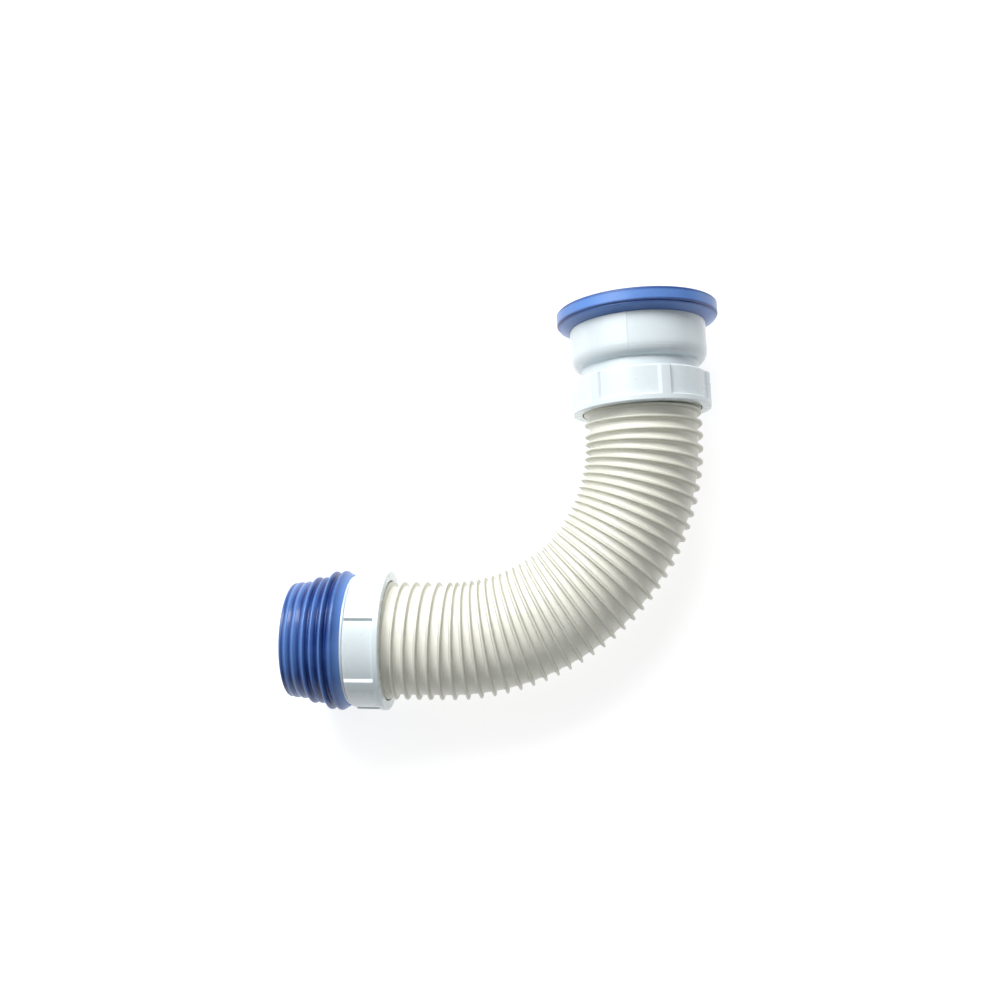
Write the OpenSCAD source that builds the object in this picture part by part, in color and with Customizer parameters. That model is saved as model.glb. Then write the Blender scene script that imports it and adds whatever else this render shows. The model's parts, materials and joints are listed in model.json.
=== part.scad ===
// Flexible soil connector: a ribbed hose in a quarter bend, with a union nut at
// each end. The lower end carries a spigot with a finned seal that pushes into a
// soil pipe, and the upper end a socket with a lip seal that takes a pan outlet.
// The assembly lies on its side, resting on three of its rims.

/* [Hose] */
// Radius of the hose's bore
hose_bore_r = 43.8; // [30:0.1:60]
// Thickness of the web between two ribs
web_wall = 1.4; // [0.8:0.1:3]
// Height of a rib above the web
rib_h = 3.8; // [1:0.1:5]
// Width of a rib where it leaves the web
rib_w = 3.6; // [1.5:0.1:4.5]
// Width of a rib's crest
rib_crest_w = 1.4; // [0.6:0.1:2]
// Pitch of the ribs along a straight run
rib_pitch = 9.7; // [8:0.1:14]
// Angle of the bend that one turn of the rib takes
turn_angle = 3; // [1.5:0.1:3.2]
// Radius of the bend on its centre line
bend_r = 164; // [150:1:260]
// Turns in the straight run at the lower end
lower_turns = 5; // [2:1:8]
// Turns in the bend
bend_turns = 31; // [10:1:32]
// Turns in the straight run at the upper end
upper_turns = 2; // [1:1:5]

/* [Hose ends] */
// Length of the sleeve bonded to the hose's end
cuff_l = 10; // [8:0.5:20]
// Length of the flange on that sleeve
cuff_flange_l = 4; // [2:0.5:6]
// Height of the flange above the sleeve
cuff_flange_h = 2.2; // [1.5:0.1:4]
// Thickness of the slip ring between nut and flange
slip_ring_t = 1.9; // [1:0.1:3]
// Thickness of the gasket
gasket_t = 3; // [1.5:0.1:5]

/* [Union nut] */
// Length of the nut
nut_l = 29; // [24:0.5:40]
// Thickness of the shoulder that holds the slip ring
nut_shoulder = 4; // [2.5:0.1:6]
// Wall of the nut behind its thread
nut_wall = 2.6; // [2:0.1:5]
// Number of grip lugs
lug_count = 6; // [4:1:8]
// Width of a lug
lug_w = 9.4; // [6:0.1:14]
// Height of the lugs and of the nut's rim above its panels
lug_h = 2.4; // [1:0.1:5]
// Length of the nut's rim
nut_rim_l = 4.6; // [3:0.1:8]
// Turn of the lower nut's first lug away from straight up
lower_lug_phase = 24; // [-60:1:60]
// Turn of the upper nut's first lug away from straight up
upper_lug_phase = 16; // [-60:1:60]

/* [Thread] */
// Height of the thread ridges on the adapters
thread_h = 1.1; // [0.8:0.1:2]

/* [Spigot] */
// Wall of the spigot's tube under the seal
spigot_wall = 2.5; // [2:0.1:6]
// Length of tube that the seal covers
spigot_tube_l = 45; // [40:0.5:60]
// Length of the collar between nut and seal
collar_l = 7.5; // [4:0.1:12]
// Height of the collar above the threaded neck
collar_step = 2.4; // [1.5:0.1:8]

/* [Socket] */
// Step out from the neck to the socket
socket_step = 8; // [6:0.1:16]
// Wall of the socket
socket_wall = 3; // [2:0.1:5]
// Length of neck that shows between nut and shoulder
neck_l = 9; // [5:0.5:15]
// Wall of that neck
neck_wall = 5.2; // [3.5:0.1:6.5]
// Length of the rounded shoulder
shoulder_l = 11; // [8:0.5:14]
// Length of the socket above its shoulder
socket_l = 23; // [18:0.5:40]

/* [Seals] */
// Reach of the lip seal's flange beyond the socket
flange_reach = 10.5; // [5:0.1:20]
// Height of the flange's rim
flange_h = 11; // [7:0.5:16]
// Height of the taper below the rim
flange_taper_h = 5; // [3:0.5:8]
// Wall of the lip seal's sleeve in the socket
seal_sleeve_t = 2.4; // [1.5:0.1:4]
// Reach of the sealing lips into the throat
lip_reach = 4.2; // [2:0.1:8]
// Wall of the finned seal on the spigot
seal_wall = 1.2; // [1:0.1:3]
// Height of the finned seal's first and largest fin above that wall
fin_h_large = 10.5; // [8:0.1:14]
// Drop from the first fin to the second
fin_drop = 0.5; // [0.2:0.1:2]
// Height of its two middle fins
fin_h_middle = 5.1; // [4:0.1:7.5]
// Height of its two smallest fins
fin_h_small = 1.4; // [1:0.1:3.5]

/* [Clearances] */
// Between the hose's ribs and whatever slides over them
slide_gap = 0.5; // [0.3:0.1:2]
// Radial gap between thread ridge and nut
thread_gap = 0.5; // [0.4:0.1:1]
// Axial gap on each side of the slip ring
slip_gap = 0.05; // [0.02:0.01:0.5]
// Gap between one turn of the hose and the next
turn_gap = 0.04; // [0.02:0.01:0.2]
// Gap between parts that don't touch
air_gap = 0.5; // [0.3:0.1:2]

/* [Hidden] */
$fn = 96;

// The hose, along its centre line
hose_r = hose_bore_r + web_wall + rib_h;
web_r = hose_bore_r + web_wall;
lower_l = lower_turns * rib_pitch;
upper_l = upper_turns * rib_pitch;
bend_angle = bend_turns * turn_angle;
turns = lower_turns + bend_turns + upper_turns;
lower_end = [-lower_l, -bend_r];
upper_yaw = bend_angle;
upper_end = bend_r * [sin(bend_angle), -cos(bend_angle)]
    + upper_l * [cos(bend_angle), sin(bend_angle)];

// Union parts, measured outwards from the nut's hose-side face
sleeve_r = hose_r;
ring_in_r = sleeve_r + slide_gap;
cuff_flange_r = sleeve_r + cuff_flange_h;
cuff_flange_z = cuff_l - cuff_flange_l;
slip_ring_z = cuff_flange_z - slip_gap - slip_ring_t;
gasket_z = cuff_l + slip_gap;
neck_z = gasket_z + gasket_t;
thread_root_r = cuff_flange_r;
thread_crest_r = thread_root_r + thread_h;
nut_bore_r = thread_crest_r + thread_gap;
nut_hole_r = ring_in_r + slide_gap;
panel_r = nut_bore_r + nut_wall;
lug_r = panel_r + lug_h;
neck_bore_r = hose_bore_r;

// Lower fitting
spigot_r = hose_bore_r + spigot_wall;
collar_r = thread_root_r + collar_step;
collar_z = nut_l + air_gap;
tube_z = collar_z + collar_l;
spigot_end_z = tube_z + spigot_tube_l;
seal_lip_over = 5.5;
fin_root_r = spigot_r + seal_wall;
fin_r_large = fin_root_r + fin_h_large;
fin_r_middle = fin_root_r + fin_h_middle;
fin_r_small = fin_root_r + fin_h_small;

// Upper fitting
neck_r = hose_bore_r + neck_wall;
socket_r = neck_r + socket_step;
flange_r = socket_r + flange_reach;
shoulder_z = nut_l + neck_l;
socket_z = shoulder_z + shoulder_l;
rim_z = socket_z + socket_l;
flange_z = rim_z + flange_taper_h;
flange_top_z = flange_z + flange_h;
socket_bore_r = socket_r - socket_wall;
throat_r = socket_bore_r - seal_sleeve_t;
lip_r = throat_r - lip_reach;
seal_depth = socket_l - 4;
lip_t = 1.6;

// How the assembly lies: on the lower nut's rim, the lip seal's flange and a rib
lower_dir = [-1, 0];
upper_dir = [cos(upper_yaw), sin(upper_yaw)];
rest_turn_yaw = 0.55 * bend_angle;
rest_rims = [
    [[lower_end.x, lower_end.y, 0], [-1, 0, 0], lug_r],
    [[upper_end.x + (flange_top_z - 1) * upper_dir.x, upper_end.y + (flange_top_z - 1) * upper_dir.y, 0],
        [upper_dir.x, upper_dir.y, 0], flange_r],
    [bend_r * [sin(rest_turn_yaw), -cos(rest_turn_yaw), 0],
        [cos(rest_turn_yaw), sin(rest_turn_yaw), 0], hose_r]
];

// Lowest reach of a rim [centre, axis, radius] below its centre, for a plane's normal
function drop(rim, normal) = rim[2] * sqrt(1 - pow(rim[1] * normal, 2));
function plane_under(rims, normal) =
    let (
        feet = [for (rim = rims) rim[0] - [0, 0, drop(rim, normal) / normal.z]],
        across = cross(feet[1] - feet[0], feet[2] - feet[0])
    )
    across / norm(across) * sign(across.z);
function rest_plane(normal, passes) =
    passes == 0 ? normal : rest_plane(plane_under(rest_rims, normal), passes - 1);
rest_normal = rest_plane([0, 0, 1], 5);
tilt_axis = [rest_normal.y, -rest_normal.x, 0];
tilt = asin(norm(tilt_axis));

function turned(v, axis, angle) =
    let (k = axis / norm(axis))
    v * cos(angle) + cross(k, v) * sin(angle) + k * (k * v) * (1 - cos(angle));
function level(v) = turned(v, tilt_axis, tilt);
// How far a rim reaches in a direction, with its centre, its axis and its radius
function reach(centre, axis, r, dir) = centre * dir + r * sqrt(max(0, 1 - pow(axis * dir, 2)));
function at_lower(z) = level([lower_end.x + z * lower_dir.x, lower_end.y + z * lower_dir.y, 0]);
function at_upper(z) = level([upper_end.x + z * upper_dir.x, upper_end.y + z * upper_dir.y, 0]);
lower_axis = level([lower_dir.x, lower_dir.y, 0]);
upper_axis = level([upper_dir.x, upper_dir.y, 0]);
x_max = max(
    reach(at_upper(flange_z + 1), upper_axis, flange_r, [1, 0, 0]),
    reach(level([bend_r, 0, 0]), level([0, 1, 0]), hose_r, [1, 0, 0]));
x_min = -reach(at_lower(spigot_end_z), lower_axis, spigot_r, [-1, 0, 0]);
y_max = reach(at_upper(flange_top_z), upper_axis, flange_r - 1, [0, 1, 0]);
y_min = -max(
    reach(at_lower(tube_z + 2), lower_axis, fin_r_large, [0, -1, 0]),
    reach(at_lower(nut_rim_l / 2), lower_axis, lug_r, [0, -1, 0]));
z_min = -max([for (rim = rest_rims) reach(level(rim[0]), level(rim[1]), rim[2], [0, 0, -1])]);
origin = [(x_min + x_max) / 2, (y_min + y_max) / 2, z_min];

function two_digits(i) = str(i < 10 ? "0" : "", i);
function turn_name(i) = str("hose_turn_", two_digits(i));

// Lays the assembly on its rims, with the origin under the middle of its box
module laid() {
    translate(-origin) rotate(a = tilt, v = tilt_axis) children();
}

// Puts a piece drawn along +Z on the hose's centre line, with its +X facing down
module on_axis(place, yaw) {
    laid() translate([place.x, place.y, 0]) rotate([0, 0, yaw]) rotate([0, 90, 0]) children();
}

module at_lower_end() {
    on_axis(lower_end, 180) children();
}

module at_upper_end() {
    on_axis(upper_end, upper_yaw) children();
}

module rib() {
    rotate_extrude()
        polygon([
            [hose_bore_r + web_wall / 2, -rib_w / 2],
            [web_r, -rib_w / 2],
            [hose_r, -rib_crest_w / 2],
            [hose_r, rib_crest_w / 2],
            [web_r, rib_w / 2],
            [hose_bore_r + web_wall / 2, rib_w / 2]
        ]);
}

module web(length) {
    translate([0, 0, -length / 2])
        rotate_extrude()
            translate([hose_bore_r, 0])
                square([web_wall, length]);
}

// The slice of the bend between two planes through the bend's own axis
module bend_slice(yaw) {
    reach_out = 2 * bend_r;
    apex = turn_gap / 2 / sin(turn_angle / 2);
    half_w = (reach_out - apex) * tan(turn_angle / 2);
    rotate([0, 0, yaw - 90])
        linear_extrude(height = 3 * hose_r, center = true)
            polygon([[apex, 0], [reach_out, -half_w], [reach_out, half_w]]);
}

module straight_turn(place, yaw) {
    on_axis(place, yaw) {
        web(rib_pitch - turn_gap);
        rib();
    }
}

// A turn in the bend, mitred to its neighbours
module bent_turn(yaw) {
    intersection() {
        on_axis(bend_r * [sin(yaw), -cos(yaw)], yaw) {
            web(2 * rib_pitch);
            rib();
        }
        laid() bend_slice(yaw);
    }
}

// One turn of the hose, counted from the lower end
module hose_turn(i) {
    color("ivory")
        if (i <= lower_turns)
            straight_turn([(i - 0.5) * rib_pitch - lower_l, -bend_r], 0);
        else if (i <= lower_turns + bend_turns)
            bent_turn((i - lower_turns - 0.5) * turn_angle);
        else
            straight_turn(
                upper_end - (turns - i + 0.5) * rib_pitch * upper_dir, upper_yaw);
}

// Sleeve bonded to the hose's end, with the flange that the nut draws up
module cuff() {
    color("ivory")
        rotate_extrude()
            polygon([
                [hose_bore_r, 0],
                [sleeve_r, 0],
                [sleeve_r, cuff_flange_z],
                [cuff_flange_r, cuff_flange_z],
                [cuff_flange_r, cuff_l],
                [hose_bore_r, cuff_l]
            ]);
}

module slip_ring() {
    color("gainsboro")
        translate([0, 0, slip_ring_z])
            difference() {
                cylinder(r = nut_bore_r - air_gap, h = slip_ring_t);
                translate([0, 0, -1]) cylinder(r = ring_in_r, h = slip_ring_t + 2);
            }
}

module gasket() {
    color("dimgray")
        translate([0, 0, gasket_z])
            rotate_extrude()
                translate([hose_bore_r + 0.8, 0])
                    square([sleeve_r - hose_bore_r, gasket_t]);
}

module union_nut(lug_phase) {
    color("whitesmoke") {
        difference() {
            union() {
                cylinder(r = lug_r, h = nut_rim_l);
                cylinder(r = panel_r, h = nut_l);
                intersection() {
                    for (i = [0:lug_count - 1])
                        rotate([0, 0, lug_phase + 180 + i * 360 / lug_count])
                            translate([0, -lug_w / 2, 0])
                                cube([lug_r + 1, lug_w, nut_l - 1]);
                    cylinder(r = lug_r, h = nut_l - 1);
                }
            }
            translate([0, 0, -1]) cylinder(r = nut_hole_r, h = nut_l + 2);
            translate([0, 0, nut_shoulder]) cylinder(r = nut_bore_r, h = nut_l);
        }
    }
}

// Rigid adapter: threaded neck, collar and the tube that the finned seal sits on
module spigot() {
    color("whitesmoke")
        rotate_extrude()
            polygon([
                [neck_bore_r, neck_z],
                [thread_root_r, neck_z],
                [thread_root_r, collar_z],
                [collar_r - 1, collar_z],
                [collar_r, collar_z + 1],
                [collar_r, tube_z],
                [spigot_r, tube_z],
                [spigot_r, spigot_end_z],
                [neck_bore_r, spigot_end_z]
            ]);
}

// One fin: a sloping face on the side that goes in first, and a steep back
function fin(tip_z, tip_r, root_r, slope) =
    [[tip_r - 0.4, tip_z - 0.4], [tip_r, tip_z], [tip_r, tip_z + 0.8], [root_r, tip_z + slope]];

module finned_seal() {
    color("royalblue", 0.8)
        rotate_extrude()
            polygon(concat(
                [
                    [spigot_r, tube_z],
                    [collar_r, tube_z],
                    [collar_r, tube_z - seal_lip_over],
                    [collar_r + 0.6, tube_z - seal_lip_over],
                    [fin_r_large - 0.6, tube_z]
                ],
                [[fin_r_large, tube_z + 0.8], [fin_r_large, tube_z + 2.4], [fin_r_middle, tube_z + 6.5]],
                fin(tube_z + 9.5, fin_r_large - fin_drop, fin_r_middle - 2.6, 4.5),
                fin(tube_z + 18, fin_r_middle, fin_r_small, 3.6),
                fin(tube_z + 24.4, fin_r_middle, fin_root_r + 0.3, 4.8),
                fin(tube_z + 33, fin_r_small, fin_root_r, 3.4),
                fin(tube_z + 39.4, fin_r_small - 0.6, fin_root_r, 3.2),
                [
                    [fin_root_r, spigot_end_z - 0.6],
                    [fin_root_r - 0.6, spigot_end_z],
                    [spigot_r, spigot_end_z]
                ]
            ));
}

// Rigid adapter: threaded neck, rounded shoulder and the socket for the lip seal
module pan_socket() {
    color("whitesmoke")
        rotate_extrude()
            polygon(concat(
                [
                    [neck_bore_r, neck_z],
                    [thread_root_r, neck_z],
                    [thread_root_r, nut_l - 2],
                    [neck_r, nut_l - 2 + (thread_root_r - neck_r)],
                    [neck_r, shoulder_z]
                ],
                [for (a = [10:10:90])
                    [neck_r + (socket_r - neck_r) * sin(a),
                        shoulder_z + shoulder_l * (1 - cos(a))]],
                [
                    [socket_r, rim_z],
                    [socket_bore_r, rim_z],
                    [socket_bore_r, socket_z],
                    [neck_bore_r, shoulder_z]
                ]
            ));
}

module pan_seal() {
    color("royalblue", 0.8)
        rotate_extrude()
            polygon([
                [throat_r, rim_z - seal_depth],
                [socket_bore_r, rim_z - seal_depth],
                [socket_bore_r, rim_z],
                [socket_r, rim_z],
                [socket_r + 0.8, rim_z],
                [flange_r - 1.6, flange_z - 1],
                [flange_r - 1.6, flange_z],
                [flange_r, flange_z + 1],
                [flange_r, flange_top_z - 1],
                [flange_r - 1, flange_top_z],
                [throat_r + 3, flange_top_z],
                [throat_r, flange_top_z - 3],
                [throat_r, rim_z + 6],
                [lip_r, rim_z + 1],
                [lip_r, rim_z + 1 - lip_t],
                [throat_r, rim_z + 4 - lip_t],
                [throat_r, rim_z - 8],
                [lip_r, rim_z - 13],
                [lip_r, rim_z - 13 - lip_t],
                [throat_r, rim_z - 10 - lip_t]
            ]);
}

at_lower_end() finned_seal();
at_lower_end() spigot();
at_lower_end() gasket();  // lower_gasket
at_lower_end() union_nut(lower_lug_phase);  // lower_union_nut
at_lower_end() slip_ring();  // lower_slip_ring
at_lower_end() cuff();  // lower_cuff
for (i = [1:turns])
    hose_turn(i);
at_upper_end() cuff();  // upper_cuff
at_upper_end() slip_ring();  // upper_slip_ring
at_upper_end() union_nut(upper_lug_phase);  // upper_union_nut
at_upper_end() gasket();  // upper_gasket
at_upper_end() pan_socket();
at_upper_end() pan_seal();
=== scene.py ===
"""Flexible soil connector: a ribbed hose in a quarter bend, a union nut at each end,
a finned spigot seal at the lower end and a lip-seal socket at the upper end.

Lengths in the classes are in millimetres, except in the studio; meshes are in metres.
"""

import json
import logging
import math
from dataclasses import dataclass, field, replace
from enum import Enum
from typing import Any, Sequence

import bpy
import numpy as np
from mathutils import Matrix, Vector


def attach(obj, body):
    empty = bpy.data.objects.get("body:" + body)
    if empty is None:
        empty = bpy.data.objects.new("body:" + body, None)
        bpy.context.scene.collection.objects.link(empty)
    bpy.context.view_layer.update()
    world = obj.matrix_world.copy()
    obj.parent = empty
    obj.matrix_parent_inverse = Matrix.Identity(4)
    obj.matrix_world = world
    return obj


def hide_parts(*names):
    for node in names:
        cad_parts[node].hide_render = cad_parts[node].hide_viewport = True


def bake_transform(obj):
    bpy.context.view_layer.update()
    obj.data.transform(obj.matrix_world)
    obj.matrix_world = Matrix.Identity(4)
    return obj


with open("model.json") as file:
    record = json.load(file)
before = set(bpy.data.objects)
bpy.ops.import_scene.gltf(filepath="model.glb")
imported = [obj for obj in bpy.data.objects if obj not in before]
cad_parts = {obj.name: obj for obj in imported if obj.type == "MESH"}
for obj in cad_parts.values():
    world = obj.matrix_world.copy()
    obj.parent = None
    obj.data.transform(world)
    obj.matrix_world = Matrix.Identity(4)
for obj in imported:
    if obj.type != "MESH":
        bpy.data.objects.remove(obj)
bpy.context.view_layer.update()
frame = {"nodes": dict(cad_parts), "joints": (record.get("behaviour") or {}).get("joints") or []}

MM = 0.001
FULL_TURN = 2 * math.pi
WELD = 2e-6
GEOMETRY_SOCKET = "NodeSocketGeometry"
SOCKET_TYPES = {
    float: "NodeSocketFloat",
    int: "NodeSocketInt",
    bpy.types.Material: "NodeSocketMaterial",
}
LOG = logging.getLogger("soil_connector")


class End(Enum):
    """The two ends of the hose."""

    LOWER = "lower"
    UPPER = "upper"


class Domain(Enum):
    """Where a mesh attribute lives."""

    POINT = "POINT"
    CORNER = "CORNER"


def new_object(name: str, data: Any) -> bpy.types.Object:
    """Makes an object and puts it in the scene."""
    made = bpy.data.objects.new(name, data)
    bpy.context.scene.collection.objects.link(made)
    return made


# Node graphs.


class Term:
    """A node socket that takes part in arithmetic, so that graphs read as formulas."""

    def __init__(self, graph: "Graph", socket: Any) -> None:
        """Wraps an output socket of a node in the graph."""
        self.graph = graph
        self.socket = socket

    def _math(self, operation: str, *values: Any) -> "Term":
        """Adds one Math node with its inputs in order, and gives its result."""
        inputs = dict(enumerate(values))
        return self.graph.node("ShaderNodeMath", {"operation": operation}, inputs)

    def __add__(self, other: Any) -> "Term":
        """self + other."""
        return self._math("ADD", self, other)

    __radd__ = __add__

    def __sub__(self, other: Any) -> "Term":
        """self - other."""
        return self._math("SUBTRACT", self, other)

    def __rsub__(self, other: Any) -> "Term":
        """other - self."""
        return self._math("SUBTRACT", other, self)

    def __mul__(self, other: Any) -> "Term":
        """self * other."""
        return self._math("MULTIPLY", self, other)

    __rmul__ = __mul__

    def __truediv__(self, other: Any) -> "Term":
        """self / other."""
        return self._math("DIVIDE", self, other)

    def __rtruediv__(self, other: Any) -> "Term":
        """other / self."""
        return self._math("DIVIDE", other, self)

    def cos(self) -> "Term":
        """Cosine, in radians."""
        return self._math("COSINE", self)

    def sin(self) -> "Term":
        """Sine, in radians."""
        return self._math("SINE", self)

    def fract(self) -> "Term":
        """The part above the next lower whole number."""
        return self._math("FRACT", self)

    def size(self) -> "Term":
        """The value without its sign."""
        return self._math("ABSOLUTE", self)

    def least(self, other: Any) -> "Term":
        """The smaller of two values."""
        return self._math("MINIMUM", self, other)

    def most(self, other: Any) -> "Term":
        """The larger of two values."""
        return self._math("MAXIMUM", self, other)

    def below(self, other: Any) -> "Term":
        """1 where the value is below the other."""
        return self._math("LESS_THAN", self, other)

    def above(self, other: Any) -> "Term":
        """1 where the value is above the other."""
        return self._math("GREATER_THAN", self, other)

    def ease(self, start: Any, end: Any) -> "Term":
        """A smooth step from 0 at start to 1 at end."""
        return self.graph.node(
            "ShaderNodeMapRange",
            {"interpolation_type": "SMOOTHSTEP"},
            {"Value": self, "From Min": start, "From Max": end},
        )


class Graph:
    """A shader or geometry node tree under construction."""

    def __init__(self, tree: bpy.types.NodeTree) -> None:
        """Starts with an empty tree."""
        self.tree = tree
        tree.nodes.clear()

    def node(
        self,
        kind: str,
        settings: dict[str, Any] | None = None,
        inputs: dict[str | int, Any] | None = None,
        output: str | int = 0,
    ) -> Term:
        """Adds any node.

        Args:
            kind: the node's type name.
            settings: properties set before the inputs.
            inputs: values or terms by socket name or index.
            output: the output socket to return.
        Returns:
            The chosen output as a term.
        """
        made = self.tree.nodes.new(kind)
        for name, value in (settings or {}).items():
            setattr(made, name, value)
        for key, value in (inputs or {}).items():
            self.put(made.inputs[key], value)
        outputs = made.outputs
        return Term(self, outputs[output] if len(outputs) else made)

    def put(self, socket: Any, value: Any) -> None:
        """Links a term to a socket, or sets the socket's own value."""
        if isinstance(value, Term):
            self.tree.links.new(value.socket, socket)
        else:
            socket.default_value = value

    def vector(self, x: Any, y: Any, z: Any) -> Term:
        """A vector from three values."""
        return self.node("ShaderNodeCombineXYZ", None, {0: x, 1: y, 2: z})

    def dress(self, values: dict[str, Any]) -> None:
        """Ends a material's tree in one principled surface."""
        surface = self.node("ShaderNodeBsdfPrincipled", None, values)
        self.node("ShaderNodeOutputMaterial", None, {"Surface": surface})

    def mix_colour(self, amount: Any, first: Any, second: Any) -> Term:
        """first where amount is 0 and second where it is 1."""
        made = self.tree.nodes.new("ShaderNodeMix")
        made.data_type = "RGBA"
        sockets = {s.identifier: s for s in (*made.inputs, *made.outputs)}
        self.put(sockets["Factor_Float"], amount)
        self.put(sockets["A_Color"], first)
        self.put(sockets["B_Color"], second)
        return Term(self, sockets["Result_Color"])


class GeometryTree(Graph):
    """A Geometry Nodes tree with named inputs, applied to an object and baked."""

    def __init__(
        self, name: str, values: dict[str, Any], takes_mesh: bool = False
    ) -> None:
        """Makes the tree and its interface.

        Args:
            name: the tree's name.
            values: the inputs' values by name, in order, which also give their types.
            takes_mesh: whether the tree reads the object's own mesh.
        """
        tree = bpy.data.node_groups.new(name, "GeometryNodeTree")
        super().__init__(tree)
        self.values = values
        if takes_mesh:
            self._open("Mesh", "INPUT", GEOMETRY_SOCKET)
        self.keys = {
            label: self._open(label, "INPUT", SOCKET_TYPES[type(value)])
            for label, value in values.items()
        }
        self._open("Mesh", "OUTPUT", GEOMETRY_SOCKET)
        self.source = tree.nodes.new("NodeGroupInput")
        self.sink = tree.nodes.new("NodeGroupOutput")

    def _open(self, label: str, way: str, kind: str) -> str:
        """Adds a socket to the interface and returns its identifier."""
        made = self.tree.interface.new_socket(label, in_out=way, socket_type=kind)
        return made.identifier

    def given(self, label: str) -> Term:
        """The named input as a term."""
        return Term(self, self.source.outputs[label])

    def weld(self, geometry: Term) -> Term:
        """Joins the points that lie on one another."""
        return self.node(
            "GeometryNodeMergeByDistance",
            None,
            {"Geometry": geometry, "Distance": WELD},
        )

    def keep(
        self, geometry: Term, name: str, value: Term, vectors: bool = False
    ) -> Term:
        """Stores a number on the points, or a vector on the faces' corners."""
        kind, domain = ("FLOAT_VECTOR", "CORNER") if vectors else ("FLOAT", "POINT")
        return self.node(
            "GeometryNodeStoreNamedAttribute",
            {"data_type": kind, "domain": domain},
            {"Geometry": geometry, "Name": name, "Value": value},
        )

    def lay(self, geometry: Term, point: Term) -> Term:
        """Moves the points to their places."""
        inputs = {"Geometry": geometry, "Position": point}
        return self.node("GeometryNodeSetPosition", None, inputs)

    def end_with(self, geometry: Term) -> None:
        """Realizes instances, sets the finish and closes the tree."""
        real = self.node("GeometryNodeRealizeInstances", None, {0: geometry})
        dressed = self.node(
            "GeometryNodeSetMaterial",
            None,
            {"Geometry": real, "Material": self.given("Finish")},
        )
        self.tree.links.new(dressed.socket, self.sink.inputs[0])

    def bake(
        self, base: bpy.types.Mesh, name: str, values: dict[str, Any] | None = None
    ) -> bpy.types.Mesh:
        """Runs the tree on a mesh.

        Args:
            base: the mesh that the tree starts from, which may be empty.
            name: the name of the result.
            values: inputs that differ from the tree's own, by name.
        Returns:
            The result as a plain mesh.
        """
        holder = new_object(name + "_base", base)
        modifier = holder.modifiers.new("build", "NODES")
        modifier.node_group = self.tree
        for label, value in (self.values | (values or {})).items():
            modifier[self.keys[label]] = value
        bpy.context.view_layer.update()
        graph = bpy.context.evaluated_depsgraph_get()
        result = bpy.data.meshes.new_from_object(
            holder.evaluated_get(graph), preserve_all_data_layers=True, depsgraph=graph
        )
        holder.modifiers.remove(modifier)
        bpy.data.objects.remove(holder)
        result.name = name
        return result


# Finishes.


@dataclass(frozen=True)
class Finish:
    """A moulded plastic: its colour, how it varies, and its gloss."""

    name: str
    colour: tuple[float, float, float]
    # shade: the darker colour that mottling runs towards; the ribbed finishes also paint their
    # shade in it
    shade: tuple[float, float, float]
    roughness: float
    roughness_spread: float = 0.06
    mottle_scale: float = 45.0
    mottle: float = 0.35
    grain_scale: float = 1400.0
    grain: float = 0.04
    subsurface: float = 0.0
    subsurface_radius: tuple[float, float, float] = (1.0, 1.0, 1.0)
    subsurface_scale: float = 0.003
    coat: float = 0.0
    coat_roughness: float = 0.08
    ior: float = 1.5
    grain_depth: float = 0.0002
    mottle_from: float = 0.35
    mottle_to: float = 0.75

    def material(self) -> bpy.types.Material:
        """The finish as a node material, made once and then reused."""
        label = self.name + "_finish"
        found = bpy.data.materials.get(label)
        if found is not None:
            return found
        made = bpy.data.materials.new(label)
        made.use_nodes = True
        graph = Graph(made.node_tree)
        place = graph.node("ShaderNodeTexCoord", None, None, "Object")
        mottle = self._noise(graph, place, self.mottle_scale, 4.0)
        grain = self._noise(graph, place, self.grain_scale, 2.0)
        tone = self.tone(graph, mottle)
        bump = graph.node(
            "ShaderNodeBump",
            None,
            {
                "Strength": self.grain,
                "Distance": self.grain_depth,
                "Height": grain,
            },
        )
        colour = graph.mix_colour(tone, (*self.colour, 1.0), (*self.shade, 1.0))
        graph.dress(
            {
                "Base Color": colour,
                "Roughness": self.roughness + (mottle - 0.5) * self.roughness_spread,
                "Normal": bump,
                "IOR": self.ior,
                "Subsurface Weight": self.subsurface,
                "Subsurface Radius": self.subsurface_radius,
                "Subsurface Scale": self.subsurface_scale,
                "Coat Weight": self.coat,
                "Coat Roughness": self.coat_roughness,
            }
        )
        return made

    @staticmethod
    def _noise(graph: Graph, place: Term, scale: float, detail: float) -> Term:
        """Noise over the object's own coordinates."""
        inputs = {"Vector": place, "Scale": scale, "Detail": detail}
        return graph.node("ShaderNodeTexNoise", None, inputs)

    def tone(self, graph: Graph, mottle: Term) -> Term:
        """How far the surface goes from its colour to its shade, 0 to 1."""
        return mottle.ease(self.mottle_from, self.mottle_to) * self.mottle


@dataclass(frozen=True)
class RibbedFinish(Finish):
    """A finish with painted shade: darker in valleys, on flanks or on crests, by attribute rise.
    """

    # Weights of painted shade: in valleys where rise is low, on flanks where rise is halfway, on
    # crests where rise is high.
    valley_shade: float = 0.5
    flank_shade: float = 0.0
    crest: float = 0.0

    def tone(self, graph: Graph, mottle: Term) -> Term:
        """Adds painted shade in valleys, on flanks and on crests to the mottling."""
        settings = {"attribute_name": "rise"}
        rise = graph.node("ShaderNodeAttribute", settings, None, "Fac")
        fall = 1.0 - rise
        painted_valley_shade = fall * self.valley_shade
        flank_shade_peak = 4.0 * self.flank_shade
        painted_rib_shade = rise * fall * flank_shade_peak + rise * self.crest
        return (super().tone(graph, mottle) + painted_valley_shade + painted_rib_shade).least(1.0)


# Painted shade on the hose's ribs: flank and crest darken them towards the grey-green shade
# colour, standing in for the shadow on the ribs' lower flanks.
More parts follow.
